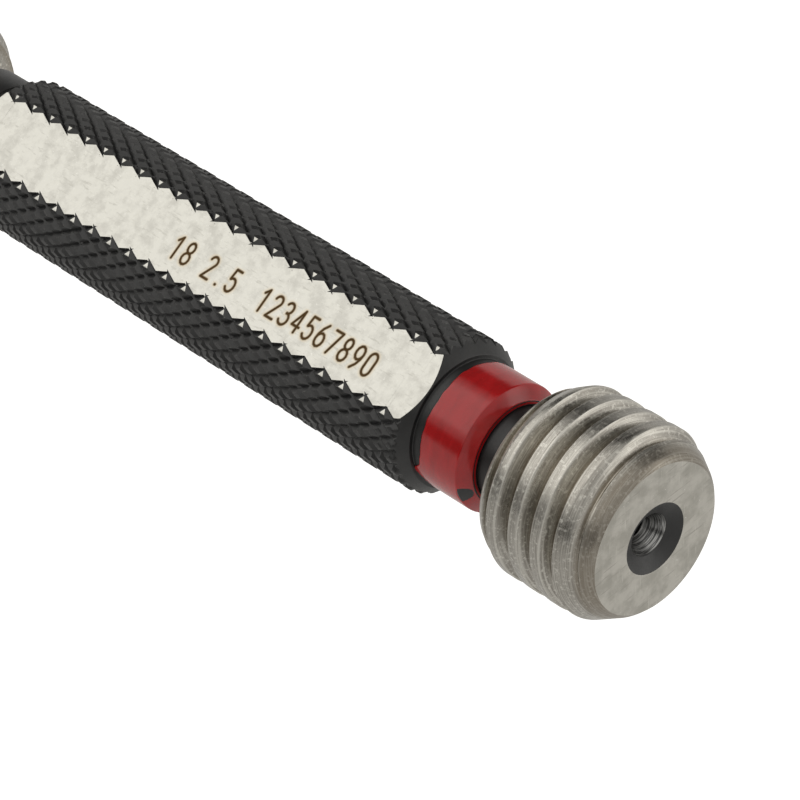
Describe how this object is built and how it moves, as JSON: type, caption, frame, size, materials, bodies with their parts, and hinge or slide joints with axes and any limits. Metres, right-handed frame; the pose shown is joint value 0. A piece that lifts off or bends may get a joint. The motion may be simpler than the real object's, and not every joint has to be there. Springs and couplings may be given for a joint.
{
  "type": "thread plug gauge",
  "caption": "Double-ended limit thread plug gauge: knurled handle with a marking flat, long full-form GO thread at one end, short truncated NO-GO thread at the other.",
  "frame": {"origin": "centre of the GO member's end face, on which the gauge stands", "axes": "+Z along the gauge's axis from the GO end to the NO-GO end; the handle's marking flat faces -Y"},
  "size_m": [0.018, 0.018, 0.1162],
  "materials": {
    "blackened_steel": "satin black oxide on knurled steel, with a bare milled marking flat and glossy dark red lacquer on the NO-GO nose",
    "ground_steel": "hardened and ground thread, satin grey; neck and guard countersink of the centre hole blackened"
  },
  "bodies": {
    "root": {"handle": "blackened_steel", "go_member": "ground_steel", "nogo_member": "ground_steel"}
  },
  "joints": []
}
